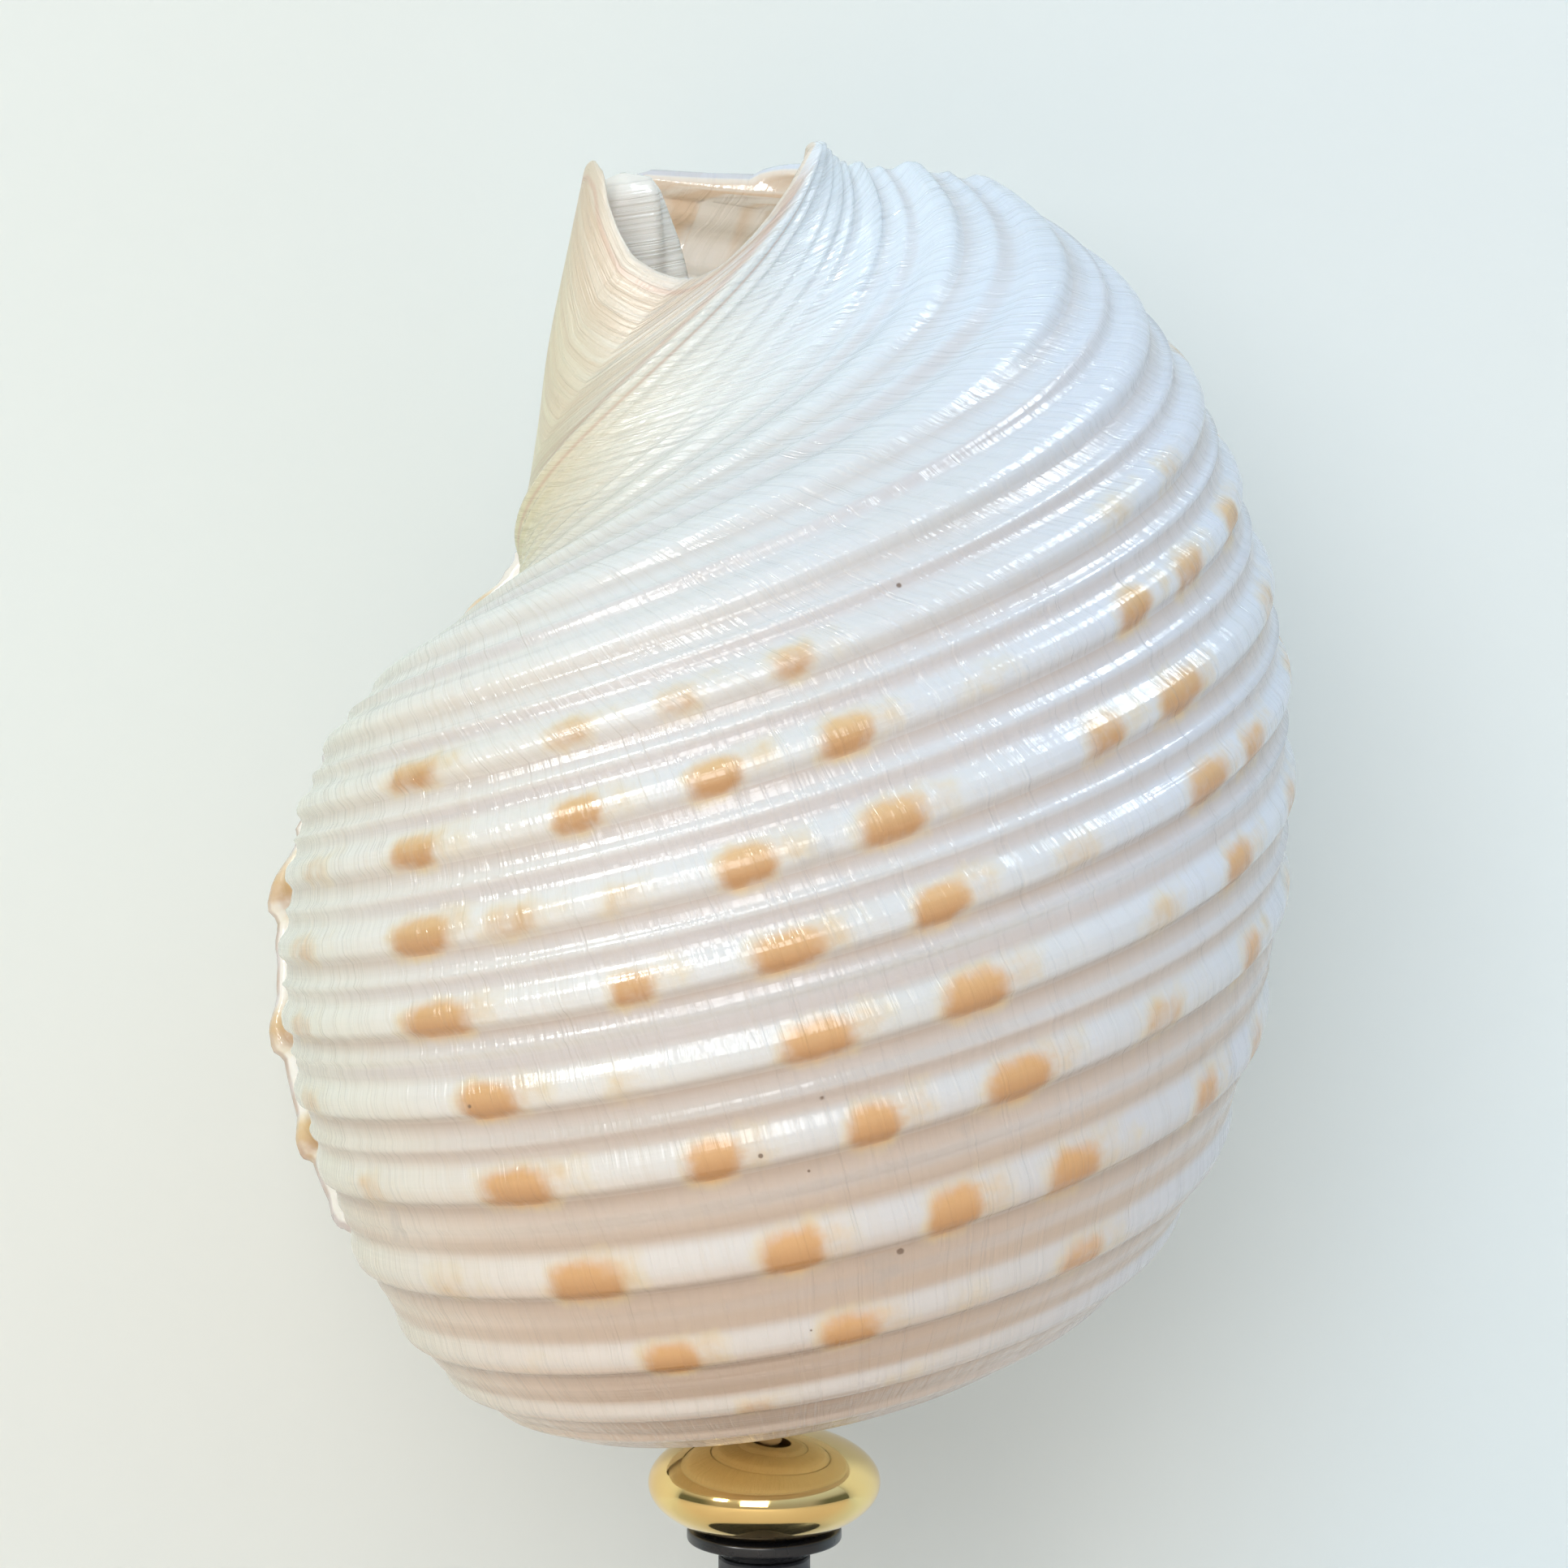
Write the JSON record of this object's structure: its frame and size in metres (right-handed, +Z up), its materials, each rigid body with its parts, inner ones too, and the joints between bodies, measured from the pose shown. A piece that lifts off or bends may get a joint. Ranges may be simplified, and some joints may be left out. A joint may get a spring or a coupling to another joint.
{
  "type": "tun shell on display stand",
  "caption": "Spotted tun shell with ribbed, inflated last whorl, standing spire down on a brass knob and black post with a round base.",
  "frame": {"origin": "centre of the round base's underside, on the post's axis", "axes": "+Z up along the post, +X to the right and +Y away as seen in the picture"},
  "size_m": [0.1106, 0.1235, 0.2191],
  "materials": {
    "shell": "glossy cream-white shell with rows of soft orange spots on the ribs",
    "brass": "polished brass",
    "black": "glossy black",
    "satin_black": "satin black"
  },
  "bodies": {
    "root": {"shell": "shell", "knob": "brass", "collar": "black", "post": "satin_black", "base": "black"}
  },
  "joints": []
}
